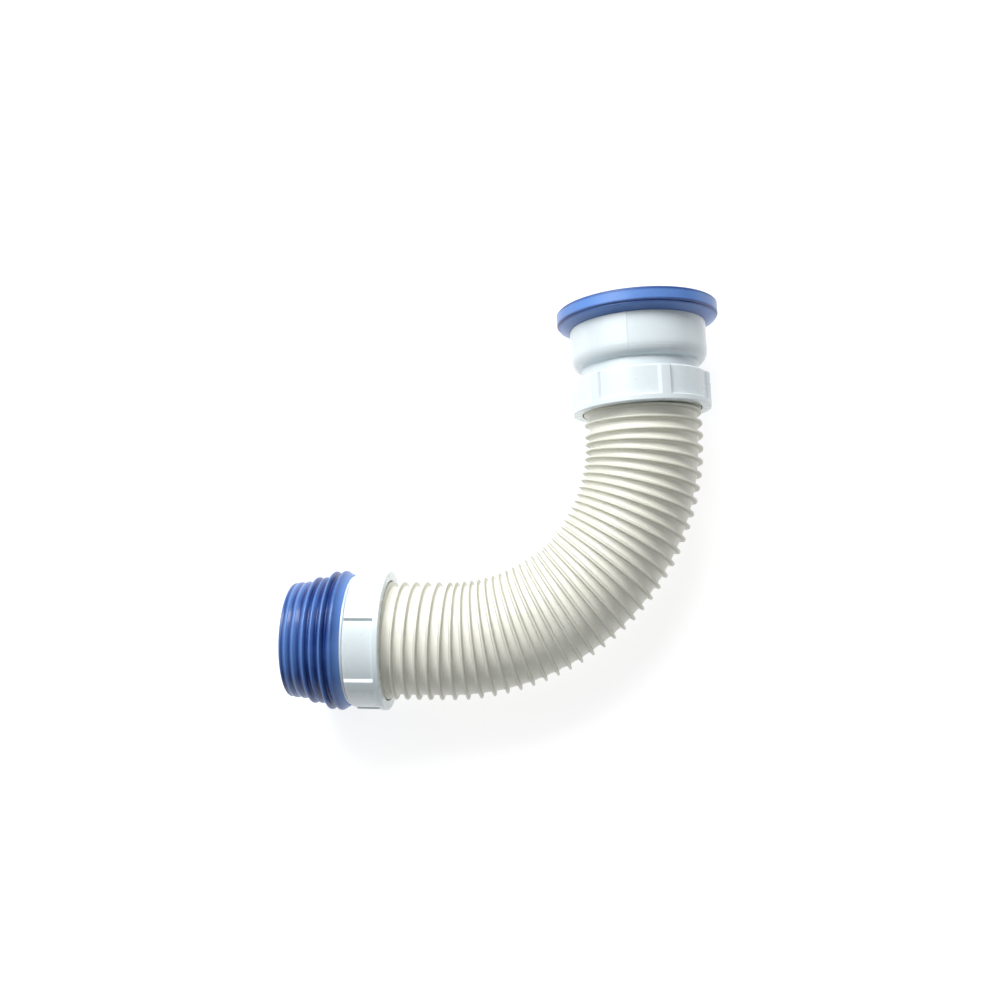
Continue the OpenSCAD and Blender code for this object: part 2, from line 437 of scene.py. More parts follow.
HOSE_PVC = RibbedFinish(
    "hose_pvc",
    (0.89, 0.88, 0.80),
    (0.42, 0.43, 0.35),
    0.40,
    mottle=0.08,
    subsurface=0.05,
    subsurface_radius=(1.0, 0.9, 0.7),
    valley_shade=0.0,
    flank_shade=0.45,
    crest=0.18,
)
HOSE_END = Finish("hose_end_moulding", (0.74, 0.73, 0.63), (0.64, 0.63, 0.53), 0.35)
WHITE_MOULDING = Finish(
    "white_moulding",
    (0.73, 0.805, 0.845),
    (0.66, 0.745, 0.79),
    0.25,
    roughness_spread=0.08,
    subsurface=0.05,
    subsurface_radius=(0.8, 0.95, 1.0),
    coat=0.2,
)
NUT_MOULDING = replace(
    WHITE_MOULDING,
    name="nut_moulding",
    colour=(0.77, 0.845, 0.885),
    shade=(0.70, 0.785, 0.835),
    roughness=0.28,
    mottle_scale=70.0,
    coat=0.15,
)
# Painted shade on the seals: valley darkens them towards deep blue where rise is low, between
# fins and in grooves.
BLUE_SEAL = RibbedFinish(
    "blue_seal",
    (0.14, 0.29, 0.70),
    (0.004, 0.025, 0.17),
    0.30,
    mottle_scale=30.0,
    mottle=0.2,
    grain=0.03,
    subsurface=0.1,
    subsurface_radius=(0.25, 0.5, 1.0),
    coat=0.05,
    ior=1.4,
    valley_shade=0.9,
)
NYLON = Finish("slip_ring_nylon", (0.70, 0.69, 0.64), (0.62, 0.61, 0.56), 0.45)
RUBBER = Finish("gasket_rubber", (0.03, 0.03, 0.03), (0.05, 0.05, 0.05), 0.6)


# Places on the frame.


def joint_of(name: str) -> dict[str, Any]:
    """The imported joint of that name."""
    return next(j for j in frame["joints"] if j["name"] == name)


@dataclass(frozen=True)
class Bend:
    """The plane and the centre line of the hose, in turns of its rib."""

    rib_pitch: float = 9.7
    turn_angle: float = 3.0
    radius: float = 164.0
    lower_turns: int = 5
    bend_turns: int = 31
    upper_turns: int = 2

    @property
    def turns(self) -> int:
        """Turns in the whole hose."""
        return self.lower_turns + self.bend_turns + self.upper_turns

    @property
    def bend_end(self) -> int:
        """The turn at which the bend ends."""
        return self.lower_turns + self.bend_turns

    def matrix(self) -> Matrix:
        """From the bend's own plane, centred on the origin, to the frame, in metres."""
        swivel = joint_of("lower_swivel")
        along = -Vector(swivel["axis"])
        normal = Vector(joint_of("bend_upper")["axis"])
        across = normal.cross(along)
        start = Vector(swivel["pos_m"])
        centre = start + along * self.lower_turns * self.rib_pitch * MM
        centre += across * self.radius * MM
        return frame_matrix(along, across, normal, centre)

    def centre_line(self, turn: float) -> Vector:
        """The point on the centre line at a turn, in the frame."""
        angle = min(max(turn - self.lower_turns, 0.0), self.bend_turns)
        angle = math.radians(angle * self.turn_angle)
        straight = min(turn - self.lower_turns, 0.0) + max(turn - self.bend_end, 0.0)
        out = Vector((math.sin(angle), -math.cos(angle), 0.0)) * self.radius
        ahead = Vector((math.cos(angle), math.sin(angle), 0.0)) * straight
        return self.matrix() @ ((out + ahead * self.rib_pitch) * MM)


def frame_matrix(x: Vector, y: Vector, z: Vector, origin: Vector) -> Matrix:
    """A placement from three axes and an origin."""
    made = Matrix.Identity(4)
    for column, axis in enumerate((x, y, z, origin)):
        for row in range(3):
            made[row][column] = axis[row]
    return made


def end_matrix(end: End) -> Matrix:
    """The placement of an end's fittings: local X down, and local Z outwards from the
    nut's face on the hose's side."""
    swivel = joint_of(f"{end.value}_swivel")
    outward = Vector(swivel["axis"])
    down = -Vector(joint_of("bend_upper")["axis"])
    return frame_matrix(down, outward.cross(down), outward, Vector(swivel["pos_m"]))


# Turned mouldings.


@dataclass(frozen=True)
class Corner:
    """A corner of a turned moulding's section: radius, height, edge rounding, and rise, which
    sets the painted shade of a ribbed finish there.
    """

    r: float
    z: float
    round: float = 0.0
    rise: float = 1.0


RING_SIDES = 168
ROUND_STEPS = 4
STRAIGHT_TURN = 0.02
ROUND_SHARE = 0.48


@dataclass
class Section:
    """A closed section in radius and height, with a normal at each end of each side."""

    points: np.ndarray
    start_normals: np.ndarray
    end_normals: np.ndarray
    rise: np.ndarray


def rounded_section(corners: Sequence[Corner]) -> Section:
    """Rounds the corners of a section.

    Args:
        corners: the section's corners, in either direction.
    Returns:
        The rounded section, running anticlockwise, so that normals point out.
    """
    ring = list(corners)
    if sum(a.r * b.z - b.r * a.z for a, b in zip(ring, ring[1:] + ring[:1])) < 0:
        ring.reverse()
    points, before, after, rise = [], [], [], []
    neighbours = zip(ring[-1:] + ring[:-1], ring, ring[1:] + ring[:1])
    for last, corner, following in neighbours:
        p = np.array((corner.r, corner.z))
        come = p - (last.r, last.z)
        go = np.array((following.r, following.z)) - p
        room = min(np.linalg.norm(come), np.linalg.norm(go))
        come, go = come / np.linalg.norm(come), go / np.linalg.norm(go)
        n_come, n_go = np.array((come[1], -come[0])), np.array((go[1], -go[0]))
        turn = math.atan2(come[0] * go[1] - come[1] * go[0], float(come @ go))
        if corner.round <= 0 or abs(turn) < STRAIGHT_TURN:
            points.append(p)
            before.append(n_come)
            after.append(n_go)
            rise.append(corner.rise)
            continue
        bend = abs(math.tan(turn / 2))
        reach = min(corner.round * bend, ROUND_SHARE * room)
        radius = reach / bend
        side = math.copysign(1.0, turn)
        centre = p - come * reach - n_come * radius * side
        for step in range(ROUND_STEPS + 1):
            angle = turn * step / ROUND_STEPS
            c, s = math.cos(angle), math.sin(angle)
            n = np.array((c * n_come[0] - s * n_come[1], s * n_come[0] + c * n_come[1]))
            points.append(centre + n * radius * side)
            before.append(n)
            after.append(n)
            rise.append(corner.rise)
    return Section(np.array(points), np.array(after), np.array(before), np.array(rise))


@dataclass
class RingForm:
    """A moulding turned about its axis, whose section may change from one to another
    at some angles, as at a lug or a mould line."""

    name: str
    section: Section
    other: Section | None = None
    angles: np.ndarray = field(
        default_factory=lambda: np.linspace(0.0, FULL_TURN, RING_SIDES, endpoint=False)
    )
    shares: np.ndarray | None = None
    closed: bool = True

    def mesh(self) -> bpy.types.Mesh:
        """Builds the mesh about local Z, in metres.

        Returns:
            The mesh, with its exact normals in the facing attribute, as radial,
            tangential and axial parts, and with the rise attribute.
        """
        shares = np.zeros(len(self.angles)) if self.shares is None else self.shares
        other = self.other or self.section
        w = shares[:, None, None]
        pts = self.section.points * (1 - w) + other.points * w
        columns, count = pts.shape[:2]
        r, z = pts[..., 0], pts[..., 1]
        ca, sa = np.cos(self.angles)[:, None], np.sin(self.angles)[:, None]
        co = np.stack((r * ca, r * sa, z), -1).reshape(-1, 3) * MM
        slope = self._slope(r)
        starts = self.section.start_normals * (1 - w) + other.start_normals * w
        ends = self.section.end_normals * (1 - w) + other.end_normals * w
        first, last = self._facing(starts, slope), self._facing(ends, slope)
        spans = columns if self.closed else columns - 1
        j = np.arange(spans)[:, None]
        i = np.arange(count)[None, :]
        jn, i2 = (j + 1) % columns, (i + 1) % count
        faces = np.stack(
            (j * count + i, jn * count + i, jn * count + i2, j * count + i2), -1
        ).reshape(-1, 4)
        normals = np.stack(
            (first[j, i], first[jn, i], last[jn, i2], last[j, i2]), 2
        ).reshape(-1, 3)
        made = bpy.data.meshes.new(self.name)
        made.from_pydata(co.tolist(), [], faces.tolist())
        store(made, "facing", normals, Domain.CORNER)
        store(made, "rise", np.tile(self.section.rise, columns), Domain.POINT)
        return made

    def _slope(self, r: np.ndarray) -> np.ndarray:
        """Change of radius along the circumference, by central differences."""
        if self.shares is None:
            return np.zeros_like(r)
        if self.closed:
            ahead, behind = np.roll(r, -1, 0), np.roll(r, 1, 0)
            gap = (np.roll(self.angles, -1) - np.roll(self.angles, 1)) % FULL_TURN
        else:
            ahead, behind = np.vstack((r[1:], r[-1:])), np.vstack((r[:1], r[:-1]))
            gap = np.gradient(self.angles) * 2
            gap[0], gap[-1] = gap[0] / 2, gap[-1] / 2
        return (ahead - behind) / gap[:, None] / r

    @staticmethod
    def _facing(n: np.ndarray, slope: np.ndarray) -> np.ndarray:
        """Unit normals as radial, tangential and axial parts."""
        made = np.stack((n[..., 0], -n[..., 0] * slope, n[..., 1]), -1)
        return made / np.linalg.norm(made, axis=-1, keepdims=True)


def store(mesh: bpy.types.Mesh, name: str, values: np.ndarray, domain: Domain) -> None:
    """Writes an attribute of numbers, or of vectors where values has three columns."""
    kind, key = ("FLOAT_VECTOR", "vector") if values.ndim == 2 else ("FLOAT", "value")
    attribute = mesh.attributes.new(name, kind, domain.value)
    attribute.data.foreach_set(key, values.astype(np.float32).ravel())


def place_mesh(mesh: bpy.types.Mesh, matrix: Matrix, turned: bool) -> None:
    """Moves a mesh to its place and gives it its exact normals.

    Args:
        mesh: a mesh with the facing attribute.
        matrix: the placement.
        turned: whether facing holds radial, tangential and axial parts.
    """
    stored = mesh.attributes["facing"]
    facing = np.zeros(len(stored.data) * 3, np.float32)
    stored.data.foreach_get("vector", facing)
    facing = facing.reshape(-1, 3)
    if turned:
        co = np.zeros(len(mesh.vertices) * 3, np.float32)
        mesh.vertices.foreach_get("co", co)
        corner = np.zeros(len(mesh.loops), np.int32)
        mesh.loops.foreach_get("vertex_index", corner)
        xy = co.reshape(-1, 3)[corner, :2]
        c, s = (xy / np.linalg.norm(xy, axis=1, keepdims=True)).T
        fr, ft, fz = facing.T
        facing = np.stack((fr * c - ft * s, fr * s + ft * c, fz), 1)
    facing = facing @ np.array(matrix.to_3x3()).T
    mesh.transform(matrix)
    mesh.attributes.remove(mesh.attributes["facing"])
    mesh.polygons.foreach_set("use_smooth", np.ones(len(mesh.polygons), bool))
    mesh.normals_split_custom_set(facing.tolist())
    mesh.update()


def add_piece(mesh: bpy.types.Mesh, name: str, finish: Finish) -> bpy.types.Object:
    """Puts a finished mesh in the scene.

    Args:
        mesh: the mesh, in its place.
        name: the piece's name.
        finish: its material and material slot.
    Returns:
        The new object.
    """
    if not mesh.materials:
        mesh.materials.append(finish.material())
    made = new_object(name, mesh)
    LOG.info("%s: %d faces", name, len(mesh.polygons))
    return made


# Hose.


@dataclass
class Hose:
    """The ribbed hose, as skins of one turn each, laid along the bend."""

    bend: Bend = Bend()
    finish: Finish = HOSE_PVC
    bore_r: float = 43.8
    web_r: float = 45.2
    rib_h: float = 3.8
    rib_w: float = 3.9
    rib_crest_w: float = 1.1
    web_sag: float = 0.4
    rib_phase: float = 0.63
    rib_hand: float = 1.0
    rows_per_turn: int = 64
    bore_rows_per_turn: int = 12
    around: int = 160
    seam_share: float = 0.16

    def tree(self) -> GeometryTree:
        """The tree that lays the ribbed skin along the bend."""
        values = {
            "First turn": 0.0,
            "Last turn": 1.0,
            "Rows": self.rows_per_turn,
            "Bore rows": self.bore_rows_per_turn,
            "Around": self.around,
            "Bore radius": self.bore_r * MM,
            "Web radius": self.web_r * MM,
            "Rib height": self.rib_h * MM,
            "Rib width": self.rib_w * MM,
            "Rib crest": self.rib_crest_w * MM,
            "Web sag": self.web_sag * MM,
            "Rib phase": self.rib_phase,
            "Rib hand": self.rib_hand,
            "Rib pitch": self.bend.rib_pitch * MM,
            "Turn angle": math.radians(self.bend.turn_angle),
            "Bend radius": self.bend.radius * MM,
            "Bend start": float(self.bend.lower_turns),
            "Bend end": float(self.bend.bend_end),
            "Finish": self.finish.material(),
        }
        tree = GeometryTree("ribbed_skin", values)
        first, last = tree.given("First turn"), tree.given("Last turn")
        parts = [
            self._skin(tree, tree.given("Rows"), 0.0),
            self._skin(tree, tree.given("Bore rows"), 1.0),
            self._end_face(tree, first, True),
            self._end_face(tree, last, False),
        ]
        joined = tree.node("GeometryNodeJoinGeometry")
        joiner = joined.socket.node
        for part in parts:
            tree.tree.links.new(part.socket, joiner.inputs[0])
        tree.end_with(tree.weld(joined))
        return tree

    def _grid(self, tree: GeometryTree, rows: Term | int) -> tuple[Term, Term, Term]:
        """A flat grid of rows by points around.

        Returns:
            The grid, the place along it from 0 to 1, and the angle round the hose.
        """
        grid = tree.node(
            "GeometryNodeMeshGrid",
            None,
            {"Vertices X": rows, "Vertices Y": tree.given("Around") + 1.0},
        )
        where = Term(tree, grid.socket.node.outputs["UV Map"])
        split = tree.node("ShaderNodeSeparateXYZ", None, {0: where})
        across = Term(tree, split.socket.node.outputs[1])
        return grid, split, across * FULL_TURN

    def _place(
        self, tree: GeometryTree, turn: Term, angle: Term, depth: Any
    ) -> tuple[Term, Term]:
        """The point at a turn, an angle and a depth of 0 outside to 1 inside.

        Returns:
            The point, and how far it stands up from the web to a rib's crest, 0 to 1.
        """
        g = tree.given
        start, end, pitch = g("Bend start"), g("Bend end"), g("Rib pitch")
        yaw = (turn.most(start).least(end) - start) * g("Turn angle")
        straight = ((turn - start).least(0.0) + (turn - end).most(0.0)) * pitch
        toward_out = angle.cos()
        bent = turn.ease(start - 0.5, start + 0.5) - turn.ease(end - 0.5, end + 0.5)
        bent_pitch = (g("Bend radius") + g("Web radius") * toward_out) * g("Turn angle")
        local_pitch = pitch + (bent_pitch - pitch) * bent
        lead = g("Rib hand") * angle / FULL_TURN + g("Rib phase")
        off = (turn - lead + 0.5).fract() - 0.5
        from_rib = (off * local_pitch).size()
        rise = 1.0 - from_rib.ease(g("Rib crest") / 2.0, g("Rib width") / 2.0)
        sag = (0.5 - (off * FULL_TURN).cos() * 0.5) * g("Web sag")
        outer = g("Web radius") + g("Rib height") * rise - sag
        inner = g("Bore radius") - sag * 0.5
        radius = outer + (inner - outer) * depth
        reach = g("Bend radius") + radius * toward_out
        point = tree.vector(
            reach * yaw.sin() + straight * yaw.cos(),
            straight * yaw.sin() - reach * yaw.cos(),
            radius * angle.sin(),
        )
        return point, rise

    def _skin(self, tree: GeometryTree, rows: Term, depth: float) -> Term:
        """The outer or the inner skin, whose normals carry on past its two ends."""
        first, last = tree.given("First turn"), tree.given("Last turn")
        step = (last - first) / (rows - 1.0)
        grid, along, angle = self._grid(tree, rows + 2.0)
        turn = first - step + along * (last - first + step * 2.0)
        kept = tree.keep(grid, "turn", turn)
        point, rise = self._place(tree, turn, angle, depth)
        # The outer skin's rise also places the hose finish's painted shade on its ribs; the bore
        # gets no rise and so none.
        shown_rise = rise if depth == 0.0 else rise * 0.0
        kept = tree.keep(kept, "rise", shown_rise)
        round_shut = tree.weld(tree.lay(kept, point))
        if depth > 0.0:
            round_shut = tree.node("GeometryNodeFlipFaces", None, {0: round_shut})
        faced = self._keep_normals(tree, round_shut, "POINT")
        at = tree.node(
            "GeometryNodeInputNamedAttribute",
            {"data_type": "FLOAT"},
            {"Name": "turn"},
        )
        spare = at.below(first) + at.above(last)
        return tree.node(
            "GeometryNodeDeleteGeometry",
            {"domain": "FACE"},
            {"Geometry": faced, "Selection": spare},
        )

    def _end_face(self, tree: GeometryTree, turn: Term, flip: bool) -> Term:
        """The cut face of the wall at one end of a skin."""
        grid, depth, angle = self._grid(tree, 2)
        point, _ = self._place(tree, turn, angle, depth)
        laid = tree.lay(grid, point)
        if flip:
            laid = tree.node("GeometryNodeFlipFaces", None, {0: laid})
        return self._keep_normals(tree, laid, "FACE")

    @staticmethod
    def _keep_normals(tree: GeometryTree, geometry: Term, domain: str) -> Term:
        """Stores the normals, taken on points or faces, on the faces' corners."""
        normal = tree.node("GeometryNodeInputNormal")
        caught = tree.tree.nodes.new("GeometryNodeCaptureAttribute")
        caught.domain = domain
        caught.capture_items.new("VECTOR", "Normal")
        tree.put(caught.inputs["Geometry"], geometry)
        tree.put(caught.inputs["Normal"], normal)
        held = Term(tree, caught.outputs["Geometry"])
        value = Term(tree, caught.outputs["Normal"])
        return tree.keep(held, "facing", value, vectors=True)

    def build(self) -> None:
        """Makes every skin, fixed in its place, and hides the CAD hose turns from hose_turn_01
        on.
        """
        tree = self.tree()
        place = self.bend.matrix()
        turns = self.bend.turns
        for index in range(turns + 1):
            first, last = max(index - 0.5, 0.0), min(index + 0.5, float(turns))
            length = last - first
            name = f"hose_skin_{index:02d}"
            span = {
                "First turn": first,
                "Last turn": last,
                "Rows": round(self.rows_per_turn * length) + 1,
                "Bore rows": round(self.bore_rows_per_turn * length) + 1,
            }
            mesh = tree.bake(bpy.data.meshes.new(name), name, span)
            place_mesh(mesh, place, turned=False)
            piece = add_piece(mesh, name, self.finish)
            inset = self.seam_share * length
            self.bend.centre_line(first + inset)
            self.bend.centre_line(last - inset)
            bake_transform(piece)
            if index:
                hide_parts(f"hose_turn_{index:02d}")


# End fittings.


@dataclass
class Thread:
    """The helical ridge of a union thread on an adapter's neck."""

    end: End
    root_r: float = 51.2
    height: float = 1.05
    pitch: float = 5.0
    start_z: float = 15.0
    length: float = 10.0
    foot: float = 3.4
    crest: float = 1.4
    steps: int = 72
    finish: Finish = WHITE_MOULDING

    def tree(self) -> GeometryTree:
        """The tree that sweeps the ridge's section along its helix."""
        values = {
            "Root radius": self.root_r * MM,
            "Height": self.height * MM,
            "Length": self.length * MM,
            "Turns": self.length / self.pitch,
            "Steps": self.steps,
            "Foot": self.foot * MM,
            "Crest": self.crest * MM,
            "Start": self.start_z * MM,
            "Finish": self.finish.material(),
        }
        tree = GeometryTree("thread_ridge", values)
        g = tree.given
        helix = tree.node(
            "GeometryNodeCurveSpiral",
            None,
            {
                "Resolution": g("Steps"),
                "Rotations": g("Turns"),
                "Start Radius": g("Root radius"),
                "End Radius": g("Root radius"),
                "Height": g("Length"),
            },
        )
        upright = tree.node("GeometryNodeSetCurveNormal", None, {"Curve": helix})
        ridge = tree.node(
            "GeometryNodeCurvePrimitiveQuadrilateral",
            {"mode": "TRAPEZOID"},
            {
                "Bottom Width": g("Foot"),
                "Top Width": g("Crest"),
                "Offset": 0.0,
                "Height": g("Height") * 2.0,
            },
        )
        swept = tree.node(
            "GeometryNodeCurveToMesh",
            None,
            {"Curve": upright, "Profile Curve": ridge, "Fill Caps": True},
        )
        raised = tree.node(
            "GeometryNodeTransform",
            None,
            {"Geometry": swept, "Translation": tree.vector(0.0, 0.0, g("Start"))},
        )
        tree.end_with(raised)
        return tree

    def build(self) -> None:
        """Makes the ridge on its end's fitting."""
        name = f"{self.end.value}_thread"
        mesh = self.tree().bake(bpy.data.meshes.new(name), name)
        mesh.transform(end_matrix(self.end))
        piece = add_piece(mesh, name, self.finish)
        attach(piece, f"{self.end.value}_fitting")


@dataclass
class UnionNut:
    """A union nut: a rim at the hose's side, smooth panels and grip lugs."""

    end: End
    phase: float
    length: float = 29.0
    shoulder: float = 4.0
    hole_r: float = 50.0
    bore_r: float = 52.8
    panel_r: float = 55.4
    lug_r: float = 57.8
    rim_l: float = 4.6
    lug_count: int = 6
    lug_w: float = 9.4
    lug_fillet: float = 1.1
    lug_sink: float = 0.02
    fillet_rows: int = 11
    panel_rows: int = 8
    finish: Finish = NUT_MOULDING

    def _section(self, outer_r: float) -> Section:
        """The nut's section where its wall reaches outer_r."""
        hole, bore, lug = self.hole_r, self.bore_r, self.lug_r
        top = self.length
        return rounded_section(
            [
                Corner(hole, 0.0, 0.5),
                Corner(lug, 0.0, 0.9),
                Corner(lug, self.rim_l, 0.7),
                Corner(outer_r, self.rim_l + 0.5, 0.5),
                Corner(outer_r, top - 1.2, 1.0),
                Corner(self.panel_r - 0.7, top, 0.6),
                Corner(bore + 0.4, top, 0.3),
                Corner(bore, top - 1.2, 0.3),
                Corner(bore, self.shoulder, 0.6),
                Corner(hole, self.shoulder, 0.4),
            ]
        )

    def tree(self) -> GeometryTree:
        """The tree that repeats one sector round the axis."""
        values = {"Count": self.lug_count, "Finish": self.finish.material()}
        tree = GeometryTree("round_the_axis", values, takes_mesh=True)
        points = tree.node("GeometryNodePoints", None, {"Count": tree.given("Count")})
        index = tree.node("GeometryNodeInputIndex")
        yaw = index * FULL_TURN / tree.given("Count")
        copies = tree.node(
            "GeometryNodeInstanceOnPoints",
            None,
            {
                "Points": points,
                "Instance": tree.given("Mesh"),
                "Rotation": tree.vector(0.0, 0.0, yaw),
            },
        )
        real = tree.node("GeometryNodeRealizeInstances", None, {0: copies})
        tree.end_with(tree.weld(real))
        return tree

    def build(self) -> None:
        """Makes the nut on its own body."""
        half = math.pi / self.lug_count
        edge = self.lug_w / 2 / self.lug_r
        blend = self.lug_fillet / self.lug_r
        near = np.linspace(edge - blend, edge + blend, self.fillet_rows)
        panel = np.linspace(edge + blend, half, self.panel_rows)[1:]
        side = np.concatenate(([0.0, edge * 0.45], near, panel))
        angles = np.concatenate((-side[:0:-1], side))
        t = np.clip((np.abs(angles) - (edge - blend)) / (2 * blend), 0, 1)
        name = f"{self.end.value}_nut_shell"
        sector = RingForm(
            name,
            self._section(self.panel_r),
            self._section(self.lug_r - self.lug_sink),
            angles=angles,
            shares=1 - t * t * (3 - 2 * t),
            closed=False,
        ).mesh()
        mesh = self.tree().bake(sector, name)
        end = self.end.value
        matrix = end_matrix(self.end) @ yaw_matrix(self.phase + 180.0)
        put_turned(mesh, name, matrix, self.finish, f"{end}_nut", f"{end}_union_nut")


@dataclass
class Spigot:
    """The rigid adapter of the lower end: threaded neck, collar and seal tube."""

    bore_r: float = 43.8
    neck_z: float = 13.05
    root_r: float = 51.2
    collar_z: float = 29.5
    collar_r: float = 53.6
    tube_z: float = 37.0
    tube_r: float = 46.3
    end_z: float = 82.0
    finish: Finish = WHITE_MOULDING

    def build(self) -> None:
        """Makes the adapter."""
        bore, root, collar, tube = self.bore_r, self.root_r, self.collar_r, self.tube_r
        section = rounded_section(
            [
                Corner(bore, self.neck_z, 0.5),
                Corner(root, self.neck_z, 0.8),
                Corner(root, self.collar_z, 0.3),
                Corner(collar, self.collar_z, 1.2),
                Corner(collar, self.tube_z, 0.6),
                Corner(tube, self.tube_z),
                Corner(tube, self.end_z, 0.9),
                Corner(bore, self.end_z, 0.9),
            ]
        )
        put_ring("spigot_moulding", section, End.LOWER, self.finish, "spigot")


@dataclass
class FinnedSeal:
    """The translucent seal on the spigot, with fins that grow towards the collar."""

    tube_r: float = 46.3
    tube_z: float = 37.0
    end_z: float = 82.0
    wall: float = 1.2
    collar_r: float = 53.6
    lip_over: float = 5.5
    large_r: float = 58.0
    second_r: float = 57.5
    middle_r: float = 52.6
    small_r: float = 48.9
    finish: Finish = BLUE_SEAL

    def _fin(self, z: float, tip_r: float, root_r: float, slope: float) -> list[Corner]:
        """One fin, whose sloping face goes in first."""
        # Rise keeps the fin's tip nearly free of painted shade and puts deep painted shade at
        # its root.
        return [
            Corner(tip_r - 0.4, z - 0.4, 0.3, 0.6),
            Corner(tip_r, z, 0.35, 0.85),
            Corner(tip_r, z + 0.8, 0.5, 0.85),
            Corner(root_r, z + slope, 1.2, 0.05),
        ]

    def build(self) -> None:
        """Makes the seal."""
        z, root = self.tube_z, self.tube_r + self.wall
        collar, middle, small = self.collar_r, self.middle_r, self.small_r
        # A corner's last number, or rise, sets the seal's painted shade: deep at the fins'
        # roots, partial on the lip, the large fin and the far end.
        section = rounded_section(
            [
                Corner(self.tube_r, z),
                Corner(collar, z, rise=0.3),
                Corner(collar, z - self.lip_over, 0.2),
                Corner(collar + 0.6, z - self.lip_over, 0.3),
                Corner(self.large_r - 0.6, z, 0.5, 0.4),
                Corner(self.large_r, z + 0.8, 0.5, 0.6),
                Corner(self.large_r, z + 2.4, 0.8, 0.5),
                Corner(middle, z + 6.5, 1.2, 0.05),
                *self._fin(z + 9.5, self.second_r, middle - 2.6, 4.5),
                *self._fin(z + 18.0, middle, small, 3.6),
                *self._fin(z + 24.4, middle, root + 0.3, 4.8),
                *self._fin(z + 33.0, small, root, 3.4),
                *self._fin(z + 39.4, small - 0.6, root, 3.2),
                Corner(root, self.end_z, 0.6, 0.6),
                Corner(self.tube_r, self.end_z, rise=0.6),
            ]
        )
        name = "finned_seal_moulding"
        put_ring(name, section, End.LOWER, self.finish, "finned_seal")


@dataclass
class PanSocket:
    """The rigid adapter of the upper end: threaded neck, shoulder and socket."""

    bore_r: float = 43.8
    neck_z: float = 13.05
    root_r: float = 51.2
    neck_top_z: float = 27.0
    neck_r: float = 49.0
    shoulder_z: float = 38.0
    shoulder_l: float = 11.0
    socket_r: float = 57.0
    socket_bore_r: float = 54.0
    rim_z: float = 72.0
    line_h: float = 0.3
    line_w: float = 1.2
    line_at: float = 167.0
    line_rows: int = 9
    half_rows: int = 84
    finish: Finish = WHITE_MOULDING

    def _section(self, proud: float) -> Section:
        """The adapter's section, its socket standing proud at a mould line."""
        step = self.socket_r - self.neck_r
        shoulder = [
            Corner(
                self.neck_r + (step + proud) * math.sin(angle),
                self.shoulder_z + self.shoulder_l * (1 - math.cos(angle)),
                3.0,
            )
            for angle in map(math.radians, range(12, 91, 13))
        ]
        bore, root, neck = self.bore_r, self.root_r, self.neck_r
        return rounded_section(
            [
                Corner(bore, self.neck_z, 0.5),
                Corner(root, self.neck_z, 0.8),
                Corner(root, self.neck_top_z, 0.8),
                Corner(neck, self.neck_top_z + 2.2, 1.5),
                Corner(neck, self.shoulder_z, 2.5),
                *shoulder,
                Corner(self.socket_r + proud, self.rim_z, 0.2),
                Corner(self.socket_bore_r, self.rim_z, 0.2),
                Corner(self.socket_bore_r, self.shoulder_z + self.shoulder_l, 1.0),
                Corner(bore, self.shoulder_z, 1.5),
            ]
        )

    def build(self) -> None:
        """Makes the adapter with its two mould lines."""
        fine = self.line_w / self.socket_r
        line = np.linspace(-fine, fine, self.line_rows)
        gaps = np.linspace(fine, math.pi - fine, self.half_rows)[1:-1]
        angles = np.concatenate((line, gaps, line + math.pi, gaps + math.pi))
        swell = np.cos(line / fine * math.pi / 2) ** 2
        name = "pan_socket_moulding"
        mesh = RingForm(
            name,
            self._section(0.0),
            self._section(self.line_h),
            angles=angles,
            shares=np.concatenate((swell, 0 * gaps) * 2),
        ).mesh()
        matrix = end_matrix(End.UPPER) @ yaw_matrix(self.line_at)
        put_turned(mesh, name, matrix, self.finish, "upper_fitting", "pan_socket")


